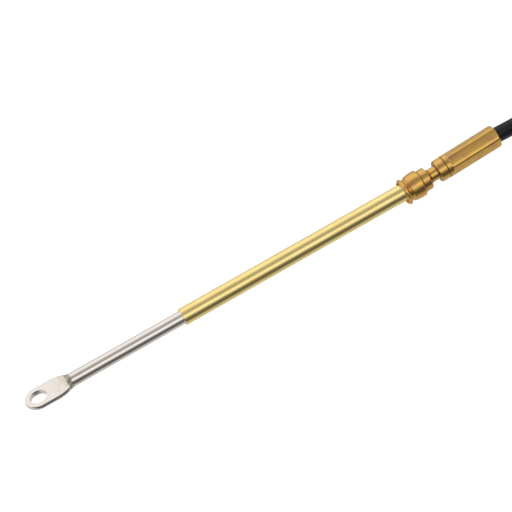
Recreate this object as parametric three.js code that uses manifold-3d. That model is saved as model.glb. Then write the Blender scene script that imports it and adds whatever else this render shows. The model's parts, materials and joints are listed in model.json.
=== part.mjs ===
// Push-pull control cable for a boat engine: a rod with a flat eye slides in a sleeve tube, which
// swivels on a ball in a crimped brass hub. A black jacketed cable runs from that hub to its far end,
// which is made the same way. Millimetres, +Z up. The near rod and sleeve point along -X, and the
// origin is at the middle of the underside of the near end.

import * as THREE from "three";
import { mergeVertices } from "three/addons/utils/BufferGeometryUtils.js";
import Module from "manifold-3d";

const wasm = await Module();
wasm.setup();

// Rod and its eye
const ROD_DIAMETER = 6.35;
const EYE_WIDTH = 12.9;
const EYE_THICKNESS = 2.5;
const EYE_HOLE_DIAMETER = 7.8;
const EYE_STRAIGHT = 7.05; // from the hole's centre to where the flat starts to narrow
const EYE_TAPER = 7; // from there to the foot of the forged step
const EYE_SHOULDER = 9.4; // width that the flat's narrowing bends around, beside the step
const EYE_BEND_START = 0.56; // places of that bend's two handles, as shares of its run
const EYE_BEND_END = 0.84;
const SHOULDER_LENGTH = 1.9; // the forged step up to the round rod, along the axis
const NEAR_ROD_SHOWN = 55.7; // round rod between the eye's step and the sleeve's mouth
const STROKE = 76.2; // full travel of either rod
const LEAST_ROD_SHOWN = 4; // round rod still showing when a rod is pushed right in
const ROD_HELD = 26; // rod still inside the sleeve at full reach

// Sleeve tube and its swivel ball
const SLEEVE_DIAMETER = 7.94;
const SLIDING_CLEARANCE = 0.12;
const SLEEVE_SHOWN = 111; // from its mouth to the hub's mouth
const SLEEVE_EDGE = 0.25; // broken edge at the mouth
const BALL_DIAMETER = 10.2;
const BALL_CLEARANCE = 0.2;
const BALL_BACK = 3.6; // from the ball's centre to the flat that ends it

// Hub, measured along its own axis from its mouth
const MOUTH_TO_BALL = 6.9;
const LIP_FRONT_DIAMETER = 10;
const LIP_CREST_AT = 1.25;
const LIP_DIAMETER = 12.4;
const LIP_WALL = 0.25; // metal at the mouth's edge
const WAIST_AT = 2.95;
const WAIST_DIAMETER = 9.94;
const THROAT_DIAMETER = 9.16; // opening that keeps the ball in and lets the sleeve tilt
const SOCKET_AT = 3.8;
const SOCKET_FRONT_DIAMETER = 11.7;
const SOCKET_CREST_AT = 6.9;
const SOCKET_DIAMETER = 12.4;
const SOCKET_BACK_AT = 9.55;
const SOCKET_ROUNDING = 1.7;
const SOCKET_GAP_DIAMETER = 9.9; // bottom of the crease behind the socket
const COLLAR_AT = 9.9;
const COLLAR_DIAMETER = 10.35;
const COLLAR_LENGTH = 3.3;
const COLLAR_TAPER = 1.15; // run of the slope from the collar down to the neck
const NECK_DIAMETER = 6.4;
const NECK_LENGTH = 3.7;
const FLANGE_NOSE = 1.5; // rounded front of the flange
const FLANGE_DIAMETER = 10.3;
const FLANGE_LENGTH = 2.65;
const FLANGE_LINE = 0.22; // depth of the fine line behind the flange
const CORE_BORE_DIAMETER = 4.6;
const HUB_LENGTH = 49.4;
const BARREL_DIAMETER = 10.56; // over the rounded corners of the crimp
const CRIMP_FLATS = 9.5; // across the flats of the crimp
const CRIMP_AT = 23.7;
const CRIMP_RAMP = 1.5; // run in which the flats reach their full depth
const CRIMP_TURN = 47; // degrees from -Y up to the normal of the first flat
const BARREL_ROUNDING = 1.65;
const JACKET_SEAT = 16; // depth that the jacket enters the barrel
const JACKET_CLEARANCE = 0.3;
const FLANGE_ROUNDING = 1.3;
const LATHE_BREAK = 0.1; // small broken edges of the turned outline

// Black jacketed cable, put away as a hank in line with the ends
const JACKET_DIAMETER = 7.14;
const HUB_YAW = 3.6; // degrees that the hub stands turned from the near sleeve
const JACKET_DROOP = 0.9; // that the jacket hangs lower by, LEAD_STRAIGHT beyond the near hub
const LEAD_STRAIGHT = 10;
const LEAD_BEND = 20; // along X from the near hub's end to where the lead has turned to the hank's line
const TAIL_DROP = 16; // along X from the last run to where the tail has come down off the hank
const HANK_START = 37.8; // from the near hub's end to the first full run, along X
const HANK_RUN = 119.9;
const HANK_TAIL = 34; // from the last run to the far hub's end
const HANK_FOLD_RADIUS = 22.5; // of the inner strand
const HANK_COLUMNS = 2;
const HANK_LAYERS = 2;
const HANK_ASIDE = 1.2; // the run's shift towards +Y from the near hub's end
const TUBE_TRIM = 12; // from a run's end back to where its lead's own solid stops
const FACE_GAP = 0.3; // between faces that meet
const HANK_EDGE = 1.8; // broken edges of the bundle, where its round strands leave the corners empty

// Cable ties around the runs of the hank
const TIE_WIDTH = 4.8;
const TIE_THICKNESS = 1.1;

const ROUND_SIDES = 32;
const JACKET_SIDES = 12;

const degrees = THREE.MathUtils.degToRad;
const rodRadius = ROD_DIAMETER / 2;
const sleeveRadius = SLEEVE_DIAMETER / 2;
const jacketRadius = JACKET_DIAMETER / 2;
const ballRadius = BALL_DIAMETER / 2;
const restHeight = Math.max(SOCKET_DIAMETER, LIP_DIAMETER) / 2; // of a hub's axis on the floor
const hubReach = HUB_LENGTH - MOUTH_TO_BALL; // from the ball to the barrel's end
const sleeveReach = MOUTH_TO_BALL + SLEEVE_SHOWN; // from the ball to the sleeve's mouth
const farRodShown = 2 * LEAST_ROD_SHOWN + STROKE - NEAR_ROD_SHOWN;
const rodInside = LEAST_ROD_SHOWN + STROKE - NEAR_ROD_SHOWN + ROD_HELD; // in the sleeve at rest, near rod

const finishes = {
  stainless: new THREE.MeshStandardMaterial({ color: 0xd2cbc6, roughness: 0.25, metalness: 1 }),
  sleeve: new THREE.MeshStandardMaterial({ color: 0xe2ca84, roughness: 0.3, metalness: 1 }),
  brass: new THREE.MeshStandardMaterial({ color: 0xb68a45, roughness: 0.3, metalness: 1 }),
  jacket: new THREE.MeshStandardMaterial({ color: 0x19171a, roughness: 0.45, metalness: 0 }),
  tie: new THREE.MeshStandardMaterial({ color: 0x101012, roughness: 0.5, metalness: 0 }),
};

// A closed solid for joining and cutting
function solidOf(geometry) {
  const bare = geometry.clone();
  bare.deleteAttribute("normal");
  bare.deleteAttribute("uv");
  const merged = mergeVertices(bare, 1e-4);
  return new wasm.Manifold(
    new wasm.Mesh({
      numProp: 3,
      vertProperties: merged.attributes.position.array,
      triVerts: new Uint32Array(merged.index.array),
    }),
  );
}

function geometryOf(solid) {
  const { vertProperties, triVerts } = solid.getMesh();
  return new THREE.BufferGeometry()
    .setAttribute("position", new THREE.BufferAttribute(vertProperties, 3))
    .setIndex(new THREE.BufferAttribute(triVerts, 1));
}

// A profile of [place along X, radius] points turned about X, listed outside first from -X to +X
function turnedAboutX(profile, sides = ROUND_SIDES) {
  const points = profile.map(([along, radius]) => new THREE.Vector2(radius, -along)).reverse();
  return new THREE.LatheGeometry(points, sides).rotateZ(Math.PI / 2);
}

// Points of an arc in a profile, from one angle to another, in degrees from +X towards a growing radius
function profileArc(along, radius, size, from, to, steps) {
  return Array.from({ length: steps + 1 }, (_, i) => {
    const angle = degrees(from + ((to - from) * i) / steps);
    return [along + size * Math.cos(angle), radius + size * Math.sin(angle)];
  });
}

// The rod points along -X from the sleeve's mouth at x = 0, with the given length of round rod showing
function rodGeometry(shown, inside) {
  const stepTop = -shown; // where the round rod starts
  const stepFoot = stepTop - SHOULDER_LENGTH;
  const flatHalf = EYE_THICKNESS / 2;
  const stem = solidOf(
    turnedAboutX([
      [stepFoot, 0],
      [stepFoot, rodRadius],
      [inside, rodRadius],
      [inside, 0],
    ]),
  );

  const side = new THREE.Shape();
  side.moveTo(stepFoot - 1, -flatHalf);
  side.lineTo(stepFoot, -flatHalf);
  side.lineTo(stepTop, -ROD_DIAMETER);
  side.lineTo(inside + 1, -ROD_DIAMETER);
  side.lineTo(inside + 1, ROD_DIAMETER);
  side.lineTo(stepTop, ROD_DIAMETER);
  side.lineTo(stepFoot, flatHalf);
  side.lineTo(stepFoot - 1, flatHalf);
  const sideBlock = new THREE.ExtrudeGeometry(side, { depth: 2 * ROD_DIAMETER, bevelEnabled: false })
    .translate(0, 0, -ROD_DIAMETER)
    .rotateX(Math.PI / 2);

  const half = EYE_WIDTH / 2;
  const holeAt = stepFoot - EYE_TAPER - EYE_STRAIGHT;
  const neckHalf = Math.sqrt(rodRadius ** 2 - flatHalf ** 2);
  const taperStart = stepFoot - EYE_TAPER;
  const run = stepTop - taperStart;
  const bendStart = taperStart + run * EYE_BEND_START;
  const bendEnd = taperStart + run * EYE_BEND_END;
  const shoulder = EYE_SHOULDER / 2;
  const face = new THREE.Shape();
  face.absarc(holeAt, 0, half, Math.PI / 2, (3 * Math.PI) / 2, false);
  face.lineTo(taperStart, -half);
  face.bezierCurveTo(bendStart, -half, bendEnd, -shoulder, stepTop, -neckHalf);
  face.lineTo(stepTop, neckHalf);
  face.bezierCurveTo(bendEnd, shoulder, bendStart, half, taperStart, half);
  const hole = new THREE.Path();
  hole.absarc(holeAt, 0, EYE_HOLE_DIAMETER / 2, 0, 2 * Math.PI, true);
  face.holes.push(hole);
  const eye = new THREE.ExtrudeGeometry(face, {
    depth: EYE_THICKNESS,
    bevelEnabled: false,
    curveSegments: 14,
  }).translate(0, 0, -flatHalf);
  return geometryOf(stem.intersect(solidOf(sideBlock)).add(solidOf(eye)));
}

// The sleeve lies along -X from its ball's centre at x = 0
function sleeveGeometry() {
  const bore = rodRadius + SLIDING_CLEARANCE;
  const ballStart = THREE.MathUtils.radToDeg(Math.acos(-Math.sqrt(ballRadius ** 2 - sleeveRadius ** 2) / ballRadius));
  const ballEnd = THREE.MathUtils.radToDeg(Math.acos(BALL_BACK / ballRadius));
  const outline = [
    [-sleeveReach, bore + SLEEVE_EDGE],
    [-sleeveReach, sleeveRadius - SLEEVE_EDGE],
    [-sleeveReach + SLEEVE_EDGE, sleeveRadius],
    ...profileArc(0, 0, ballRadius, ballStart, ballEnd, 7),
    [BALL_BACK, bore],
    [-sleeveReach + SLEEVE_EDGE, bore],
  ];
  return turnedAboutX([...outline, outline[0]]);
}

// The hub's mouth is at x = 0 and its crimped barrel ends at x = HUB_LENGTH
function hubGeometry() {
  const throat = THROAT_DIAMETER / 2;
  const lip = LIP_DIAMETER / 2;
  const lipFront = LIP_FRONT_DIAMETER / 2;
  const socket = SOCKET_DIAMETER / 2;
  const socketFront = SOCKET_FRONT_DIAMETER / 2;
  const collar = COLLAR_DIAMETER / 2;
  const neck = NECK_DIAMETER / 2;
  const flange = FLANGE_DIAMETER / 2;
  const barrel = BARREL_DIAMETER / 2;
  const cavity = ballRadius + BALL_CLEARANCE;
  const coreBore = CORE_BORE_DIAMETER / 2;
  const seat = jacketRadius + JACKET_CLEARANCE;
  const collarEnd = COLLAR_AT + COLLAR_LENGTH;
  const neckStart = collarEnd + COLLAR_TAPER;
  const neckEnd = neckStart + NECK_LENGTH;
  const flangeStart = neckEnd + FLANGE_NOSE;
  const flangeEnd = flangeStart + FLANGE_LENGTH;
  const cavityFront = 180 - THREE.MathUtils.radToDeg(Math.asin(throat / cavity));
  const cavityBack = THREE.MathUtils.radToDeg(Math.asin(coreBore / cavity));
  const seatAt = HUB_LENGTH - JACKET_SEAT;
  const outline = [
    [LIP_WALL, lipFront],
    [0, lipFront + LIP_WALL],
    [LIP_CREST_AT - 4 * LATHE_BREAK, lip - LATHE_BREAK],
    [LIP_CREST_AT, lip],
    [LIP_CREST_AT + 4 * LATHE_BREAK, lip - LATHE_BREAK],
    [WAIST_AT - 3 * LATHE_BREAK, WAIST_DIAMETER / 2 + LATHE_BREAK],
    [WAIST_AT, WAIST_DIAMETER / 2],
    [SOCKET_AT - 2 * LATHE_BREAK, socketFront - 2 * LATHE_BREAK],
    [SOCKET_AT, socketFront],
    [(2 * SOCKET_AT + SOCKET_CREST_AT) / 3, (socketFront + 2 * socket) / 3],
    [SOCKET_CREST_AT, socket],
    ...profileArc(SOCKET_BACK_AT - SOCKET_ROUNDING, socket - SOCKET_ROUNDING, SOCKET_ROUNDING, 80, 0, 3),
    [SOCKET_BACK_AT, SOCKET_GAP_DIAMETER / 2],
    [COLLAR_AT, SOCKET_GAP_DIAMETER / 2],
    [COLLAR_AT, collar - LATHE_BREAK],
    [COLLAR_AT + 3 * LATHE_BREAK, collar],
    [collarEnd - 3 * LATHE_BREAK, collar],
    [collarEnd, collar - 2 * LATHE_BREAK],
    [neckStart - 2 * LATHE_BREAK, neck + 4 * LATHE_BREAK],
    [neckStart, neck],
    [neckEnd, neck],
    [neckEnd + LATHE_BREAK, neck + 4 * LATHE_BREAK],
    ...profileArc(flangeStart, flange - FLANGE_ROUNDING, FLANGE_ROUNDING, 150, 95, 2),
    [flangeStart, flange],
    [flangeEnd, flange],
    [flangeEnd + FLANGE_LINE, flange - FLANGE_LINE],
    [flangeEnd + 2 * FLANGE_LINE, barrel],
    ...profileArc(HUB_LENGTH - BARREL_ROUNDING, barrel - BARREL_ROUNDING, BARREL_ROUNDING, 90, 25, 3),
    [HUB_LENGTH, seat],
    [seatAt, seat],
    [seatAt, coreBore],
    ...profileArc(MOUTH_TO_BALL, 0, cavity, cavityBack, cavityFront, 8),
    [WAIST_AT, throat],
  ];
  const body = solidOf(turnedAboutX([...outline, outline[0]]));

  const overFlats = (flats) => flats / 2 / Math.cos(Math.PI / 6);
  const open = overFlats(2 * socket);
  const crimp = solidOf(
    turnedAboutX(
      [
        [-1, 0],
        [-1, open],
        [CRIMP_AT, open],
        [CRIMP_AT, overFlats(BARREL_DIAMETER)],
        [CRIMP_AT + CRIMP_RAMP, overFlats(CRIMP_FLATS)],
        [HUB_LENGTH + 1, overFlats(CRIMP_FLATS)],
        [HUB_LENGTH + 1, 0],
      ],
      6,
    ),
  );
  return geometryOf(body.intersect(crimp));
}

// A tube along a route of points
function cableTube(points, steps) {
  const route = new THREE.CatmullRomCurve3(points, false, "centripetal");
  const section = new THREE.Shape();
  section.absarc(0, 0, jacketRadius, 0, 2 * Math.PI, false);
  return new THREE.ExtrudeGeometry(section, {
    steps,
    curveSegments: JACKET_SIDES / 2,
    extrudePath: route,
    bevelEnabled: false,
  });
}

// A ring outline with round ends: two straight runs of the given length, centred on the axis of its folds
function hankOutline(outer, inner, length) {
  const ring = new THREE.Shape();
  ring.moveTo(0, -outer);
  ring.lineTo(length, -outer);
  ring.absarc(length, 0, outer, -Math.PI / 2, Math.PI / 2, false);
  ring.lineTo(0, outer);
  ring.absarc(0, 0, outer, Math.PI / 2, (3 * Math.PI) / 2, false);
  if (inner > 0) {
    const hole = new THREE.Path();
    hole.moveTo(0, inner);
    hole.lineTo(length, inner);
    hole.absarc(length, 0, inner, Math.PI / 2, -Math.PI / 2, true);
    hole.lineTo(0, -inner);
    hole.absarc(0, 0, inner, (3 * Math.PI) / 2, Math.PI / 2, true);
    ring.holes.push(hole);
  }
  return ring;
}

// A closed band around a bundle of the given width and height, centred on x = 0, lying along X
function tieGeometry(width, height, corner) {
  const round = (w, h, r) => {
    const path = new THREE.Shape();
    path.absarc(w / 2 - r, h / 2 - r, r, 0, Math.PI / 2, false);
    path.absarc(-w / 2 + r, h / 2 - r, r, Math.PI / 2, Math.PI, false);
    path.absarc(-w / 2 + r, -h / 2 + r, r, Math.PI, (3 * Math.PI) / 2, false);
    path.absarc(w / 2 - r, -h / 2 + r, r, (3 * Math.PI) / 2, 2 * Math.PI, false);
    return path;
  };
  const band = round(width + 2 * TIE_THICKNESS, height + 2 * TIE_THICKNESS, corner + TIE_THICKNESS);
  band.holes.push(new THREE.Path(round(width, height, corner).getPoints(3).reverse()));
  return new THREE.ExtrudeGeometry(band, { depth: TIE_WIDTH, bevelEnabled: false, curveSegments: 3 })
    .translate(0, 0, -TIE_WIDTH / 2)
    .rotateX(Math.PI / 2)
    .rotateZ(Math.PI / 2);
}

function piece(name, geometry, finish) {
  const mesh = new THREE.Mesh(geometry, finish);
  mesh.name = name;
  return mesh;
}

const cable = new THREE.Group();

// One end of the cable around its ball's centre, with the sleeve along -X and the hub turned by yaw
function cableEnd(prefix, rodShown, rodHidden, yaw) {
  const end = new THREE.Group();
  const rod = piece(prefix + "rod_eye", rodGeometry(rodShown, rodHidden), finishes.stainless);
  rod.position.x = -sleeveReach;
  const sleeve = piece(prefix + "sleeve_tube", sleeveGeometry(), finishes.sleeve);
  const hubTurn = new THREE.Group();
  const hub = piece(prefix + "crimp_hub", hubGeometry(), finishes.brass);
  hub.position.x = -MOUTH_TO_BALL;
  hub.rotation.x = -degrees(CRIMP_TURN);
  hubTurn.rotation.z = degrees(yaw);
  hubTurn.add(hub);
  end.add(rod, sleeve, hubTurn);
  end.position.z = restHeight;
  return end;
}

const nearEnd = cableEnd("", NEAR_ROD_SHOWN, rodInside, HUB_YAW);
cable.add(nearEnd);
nearEnd.updateMatrixWorld(true);
const reach = new THREE.Box3().setFromObject(nearEnd, true);
const middle = reach.getCenter(new THREE.Vector3());
nearEnd.position.x = -middle.x;
nearEnd.position.y = -middle.y;

// Where the jacket leaves the near hub, and its heading there
const heading = new THREE.Vector3(Math.cos(degrees(HUB_YAW)), Math.sin(degrees(HUB_YAW)), 0);
const nearExit = nearEnd.position.clone().addScaledVector(heading, hubReach);

const tieGap = TIE_THICKNESS + FACE_GAP;
const runLine = nearExit.y + HANK_ASIDE; // of the outermost strand
const runStart = nearExit.x + HANK_START;
const runEnd = runStart + HANK_RUN;
const bundleWidth = HANK_COLUMNS * JACKET_DIAMETER;
const bundleHeight = HANK_LAYERS * JACKET_DIAMETER;
const outerFold = HANK_FOLD_RADIUS + (HANK_COLUMNS - 1) * JACKET_DIAMETER;
const foldLine = runLine - outerFold; // the line through both folds' centres
const lowLayer = tieGap + jacketRadius;
const topLayer = tieGap + bundleHeight - jacketRadius;
const farExit = new THREE.Vector3(runEnd + HANK_TAIL, runLine, restHeight);

const hankOuter = outerFold + jacketRadius;
const hankInner = HANK_FOLD_RADIUS - jacketRadius;
const hank = new THREE.ExtrudeGeometry(hankOutline(hankOuter, hankInner, HANK_RUN), {
  depth: bundleHeight - 2 * HANK_EDGE,
  bevelThickness: HANK_EDGE,
  bevelSize: HANK_EDGE,
  bevelOffset: -HANK_EDGE,
  bevelSegments: 1,
  curveSegments: 12,
}).translate(0, 0, HANK_EDGE);
const jacketHank = piece("jacket_hank", hank, finishes.jacket);
jacketHank.position.set(runStart, foldLine, tieGap);

// What the leads must stay clear of: the hank's outer shape and a face gap around it
const hankRoom = solidOf(
  new THREE.ExtrudeGeometry(hankOutline(hankOuter + FACE_GAP, 0, HANK_RUN), {
    depth: 3 * bundleHeight,
    bevelEnabled: false,
    curveSegments: 12,
  }).translate(runStart, foldLine, -bundleHeight),
);

// The near lead: straight out of the hub, then down and round to the line of the first run
const seatStart = nearExit.clone().addScaledVector(heading, FACE_GAP - JACKET_SEAT);
const leadPoints = [
  seatStart,
  nearExit.clone().setZ(restHeight - JACKET_CLEARANCE / 2),
  nearExit.clone().addScaledVector(heading, LEAD_STRAIGHT).setZ(restHeight - JACKET_DROOP),
  new THREE.Vector3(nearExit.x + LEAD_BEND, runLine - 0.12, (lowLayer + restHeight - JACKET_DROOP) / 2),
  new THREE.Vector3(runStart - TUBE_TRIM, runLine, lowLayer),
];
// The far lead: off the top of the hank, down to the height of the far hub's axis and into it
const tailPoints = [
  new THREE.Vector3(runEnd + TUBE_TRIM - 3, runLine, topLayer - 1.1),
  new THREE.Vector3(runEnd + TAIL_DROP, runLine, topLayer - 3),
  new THREE.Vector3(farExit.x - 10, runLine, restHeight + 0.7),
  new THREE.Vector3(farExit.x - 4, runLine, restHeight),
  farExit.clone().add(new THREE.Vector3(JACKET_SEAT - FACE_GAP, 0, 0)),
];
const trimmed = (points, steps) => geometryOf(solidOf(cableTube(points, steps)).subtract(hankRoom));
cable.add(
  piece("jacket_lead", trimmed(leadPoints, 14), finishes.jacket),
  jacketHank,
  piece("jacket_tail", trimmed(tailPoints, 12), finishes.jacket),
);

// A tie at the middle of each run
const strandMiddle = outerFold - (bundleWidth - JACKET_DIAMETER) / 2;
[1, -1].forEach((side, i) => {
  const tie = piece(
    "hank_tie_" + (i + 1),
    tieGeometry(bundleWidth + 2 * FACE_GAP, bundleHeight + 2 * FACE_GAP, HANK_EDGE + FACE_GAP),
    finishes.tie,
  );
  tie.position.set(runStart + HANK_RUN / 2, foldLine + side * strandMiddle, tieGap + bundleHeight / 2);
  cable.add(tie);
});

const farEnd = cableEnd("far_", farRodShown, rodInside + NEAR_ROD_SHOWN - farRodShown, 0);
farEnd.rotation.z = Math.PI;
farEnd.position.set(farExit.x + hubReach, farExit.y, restHeight);
cable.add(farEnd);

export default cable;
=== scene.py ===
"""Looks of a push-pull boat control cable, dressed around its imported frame.

A steel rod with a flat pierced eye slides in a pale yellow sleeve tube, which swivels on a ball in a
crimped brass hub. A black jacketed cable runs from that hub, lies put away as a tied hank and ends in
a second end of the same make. Lengths are in metres, written as millimetres times MM, and angles are
in radians. The sleeve points along -X from its ball, and +Z is up.
"""

import json
import logging
import math
from dataclasses import dataclass
from enum import Enum

import bmesh
import bpy
import numpy as np
from mathutils import Matrix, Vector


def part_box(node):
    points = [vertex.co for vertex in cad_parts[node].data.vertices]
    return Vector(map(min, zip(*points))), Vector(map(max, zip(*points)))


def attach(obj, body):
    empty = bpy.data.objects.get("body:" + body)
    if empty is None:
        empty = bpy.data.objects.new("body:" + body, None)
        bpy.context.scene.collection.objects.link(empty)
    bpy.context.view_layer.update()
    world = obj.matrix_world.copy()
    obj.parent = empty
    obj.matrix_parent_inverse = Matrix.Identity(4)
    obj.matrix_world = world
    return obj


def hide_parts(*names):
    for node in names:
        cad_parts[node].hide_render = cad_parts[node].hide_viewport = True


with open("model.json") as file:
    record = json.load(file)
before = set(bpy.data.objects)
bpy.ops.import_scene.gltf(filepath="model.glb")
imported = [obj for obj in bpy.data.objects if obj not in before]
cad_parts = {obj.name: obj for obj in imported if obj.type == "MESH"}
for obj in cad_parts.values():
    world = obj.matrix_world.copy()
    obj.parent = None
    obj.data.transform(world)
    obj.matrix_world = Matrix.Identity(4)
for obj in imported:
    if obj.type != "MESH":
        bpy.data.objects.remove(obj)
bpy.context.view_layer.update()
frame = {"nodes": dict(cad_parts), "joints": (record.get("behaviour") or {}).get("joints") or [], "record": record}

MM = 0.001
Colour = tuple[float, float, float]
Scale = tuple[float, float, float]
Outline = list[tuple[float, float, float]]
Places = tuple[tuple[float, float], ...]

log = logging.getLogger("control_cable")


class Body(Enum):
    """Bodies of the frame that new pieces ride on."""

    CABLE = "cable"
    SLEEVE = "sleeve"
    ROD = "rod"


class Slot(Enum):
    """Material slots of the record."""

    STEEL = "stainless_rod"
    TUBE = "yellow_sleeve"
    BRASS = "hub_brass"
    JACKET = "black_jacket"
    NYLON = "tie_nylon"


# Shader maths


class Wire:
    """One output of a shader node, which takes part in arithmetic as a number does."""

    def __init__(self, sheet: "NodeSheet", socket: bpy.types.NodeSocket) -> None:
        """Keeps the sheet that the socket belongs to, and the socket."""
        self.sheet = sheet
        self.socket = socket

    def _math(self, operation: str, first: "Wire | float", second: "Wire | float") -> "Wire":
        """Adds one Math node.

        Args:
            operation: the node's operation.
            first: its first value.
            second: its second value.

        Returns:
            The node's result.
        """
        return self.sheet.add("ShaderNodeMath", {"operation": operation}, {0: first, 1: second})

    def __add__(self, other: "Wire | float") -> "Wire":
        """Sum."""
        return self._math("ADD", self, other)

    def __radd__(self, other: float) -> "Wire":
        """Sum with a number on the left."""
        return self._math("ADD", other, self)

    def __sub__(self, other: "Wire | float") -> "Wire":
        """Difference."""
        return self._math("SUBTRACT", self, other)

    def __rsub__(self, other: float) -> "Wire":
        """Difference from a number on the left."""
        return self._math("SUBTRACT", other, self)

    def __mul__(self, other: "Wire | float") -> "Wire":
        """Product."""
        return self._math("MULTIPLY", self, other)

    def __rmul__(self, other: float) -> "Wire":
        """Product with a number on the left."""
        return self._math("MULTIPLY", other, self)

    def __truediv__(self, other: "Wire | float") -> "Wire":
        """Quotient."""
        return self._math("DIVIDE", self, other)

    def __neg__(self) -> "Wire":
        """Negative value."""
        return self._math("MULTIPLY", self, -1.0)

    def __abs__(self) -> "Wire":
        """Value without its sign."""
        return self._math("ABSOLUTE", self, 0.0)

    def step(self, low: float, high: float) -> "Wire":
        """Smooth step.

        Args:
            low: value that gives 0.
            high: value that gives 1, which may be less than low.

        Returns:
            A value that rises smoothly from 0 to 1.
        """
        settings = {"interpolation_type": "SMOOTHSTEP"}
        return self.sheet.add("ShaderNodeMapRange", settings, {0: self, 1: low, 2: high, 3: 0.0, 4: 1.0})


class NodeSheet:
    """The node tree of a material or a world."""

    def __init__(self, tree: bpy.types.NodeTree) -> None:
        """Empties the tree and keeps it."""
        tree.nodes.clear()
        self.tree = tree

    def feed(self, socket: bpy.types.NodeSocket, value: "Wire | float | tuple") -> None:
        """Links a wire to a socket, or sets the socket's own value.

        Args:
            socket: an input of a node.
            value: a wire, a number, or three numbers for a colour or vector.
        """
        if isinstance(value, Wire):
            self.tree.links.new(value.socket, socket)
        elif isinstance(value, tuple) and socket.type == "RGBA":
            socket.default_value = (*value, 1.0)
        else:
            socket.default_value = value

    def add(
        self, kind: str, settings: dict | None = None, inputs: dict | None = None, output: int | str = 0
    ) -> Wire:
        """Adds a node.

        Args:
            kind: the node's type.
            settings: its settings, which are set first; "stops" are a ramp's places and colours.
            inputs: values or wires by the name or number of their sockets.
            output: name or number of the output to return.

        Returns:
            That output.
        """
        node = self.tree.nodes.new(kind)
        for key, value in (settings or {}).items():
            if key == "stops":
                elements = node.color_ramp.elements
                while len(elements) < len(value):
                    elements.new(1.0)
                for element, (place, colour) in zip(elements, value):
                    element.position = place
                    element.color = (*colour, 1.0)
            else:
                setattr(node, key, value)
        for key, value in (inputs or {}).items():
            self.feed(node.inputs[key], value)
        return Wire(self, node.outputs[output])

    def position(self) -> Wire:
        """Place of a point in the object's own coordinates."""
        return self.add("ShaderNodeTexCoord", output="Object")

    def along_surface(self) -> Wire:
        """The piece's own UV map: turns around it, and metres along it."""
        return self.add("ShaderNodeTexCoord", output="UV")

    def noise(self, place: Wire, scale: tuple[float, float, float], detail: float = 2.0) -> Wire:
        """Noise stretched along the axes.

        Args:
            place: coordinates.
            scale: features in each metre, or each turn, along each axis.
            detail: octaves.

        Returns:
            A value around 0.5.
        """
        stretched = self.add("ShaderNodeMapping", inputs={"Vector": place, "Scale": scale})
        return self.add("ShaderNodeTexNoise", inputs={"Vector": stretched, "Scale": 1.0, "Detail": detail})

    def part(self, vector: Wire, axis: str) -> Wire:
        """One of a vector's parts, by the name of its axis."""
        return self.add("ShaderNodeSeparateXYZ", inputs={0: vector}, output=axis)

    def mix(self, factor: "Wire | float", first: "Wire | Colour", second: "Wire | Colour") -> Wire:
        """Mixes two colours.

        Args:
            factor: share of the second.
            first: colour where the factor is 0.
            second: colour where it is 1.

        Returns:
            The mixed colour.
        """
        settings = {"data_type": "RGBA", "clamp_factor": True}
        return self.add("ShaderNodeMix", settings, {0: factor, 6: first, 7: second}, output=2)

    def bump(self, height: Wire, distance: float, strength: float = 1.0) -> Wire:
        """Turns a height into a normal.

        Args:
            height: value between 0 and 1.
            distance: metres that 1 stands for.
            strength: share of the effect.

        Returns:
            The normal.
        """
        inputs = {"Height": height, "Distance": distance, "Strength": strength}
        return self.add("ShaderNodeBump", inputs=inputs)


def surface_material(name: str) -> tuple[bpy.types.Material, NodeSheet]:
    """A new material with an empty node sheet."""
    material = bpy.data.materials.new(name)
    material.use_nodes = True
    return material, NodeSheet(material.node_tree)


def close_material(sheet: NodeSheet, inputs: dict) -> None:
    """Ends a material in a Principled shader.

    Args:
        sheet: the material's nodes.
        inputs: the shader's values and wires by socket name.
    """
    shader = sheet.add("ShaderNodeBsdfPrincipled", inputs=inputs)
    node = sheet.tree.nodes.new("ShaderNodeOutputMaterial")
    sheet.tree.links.new(shader.socket, node.inputs["Surface"])


# Finishes


@dataclass(frozen=True)
class DrawnSteel:
    """Bright stainless steel drawn along X, dark on the forged step, with a painted reflection beside it on the
    slightly dished face.
    """

    colour: Colour = (0.82, 0.755, 0.705)
    # Painted reflection: darker, warmer colour of the face near the step, where the dished face shows other light
    dished_reflection_colour: Colour = (0.66, 0.585, 0.51)
    scale_colour: Colour = (0.30, 0.26, 0.225)
    roughness: float = 0.09
    forged_reach: float = 1.15 * MM
    dished_reflection_reach: float = 9.0 * MM
    forge_depth: float = 0.05 * MM
    line_scale: Scale = (60.0, 2600.0, 2600.0)
    mottle_scale: Scale = (1100.0, 1100.0, 1100.0)
    haze_scale: Scale = (180.0, 500.0, 500.0)
    patch_scale: Scale = (160.0, 160.0, 160.0)

    def make(self, name: str, shoulder: float) -> bpy.types.Material:
        """Makes the material.

        Args:
            name: its name.
            shoulder: place along X of the forged step.

        Returns:
            The material.
        """
        material, sheet = surface_material(name)
        place = sheet.position()
        lines = sheet.noise(place, self.line_scale, 3.0)
        mottle = sheet.noise(place, self.mottle_scale, 4.0)
        haze = sheet.noise(place, self.haze_scale, 2.0)
        away = abs(sheet.part(place, "X") - shoulder)
        forged = away.step(self.forged_reach, 0.75 * self.forged_reach)
        patch = sheet.noise(place, self.patch_scale, 2.0)
        # Painted reflection: a darker, warmer patch on the face near the step, standing in for the light on the
        # slightly dished face
        dished_reflection = away.step(self.dished_reflection_reach, 0.3 * self.dished_reflection_reach) * patch.step(0.42, 0.6)
        face = sheet.mix(dished_reflection * 0.75, self.colour, self.dished_reflection_colour)
        close_material(
            sheet,
            {
                "Base Color": sheet.mix(forged * (0.45 + mottle * 0.6), face, self.scale_colour),
                "Metallic": 1.0,
                "Roughness": self.roughness + lines * 0.05 + haze * 0.06 + forged * mottle * 0.3,
                "Normal": sheet.bump(lines * 0.08 + forged * mottle, self.forge_depth),
            },
        )
        return material


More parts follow.
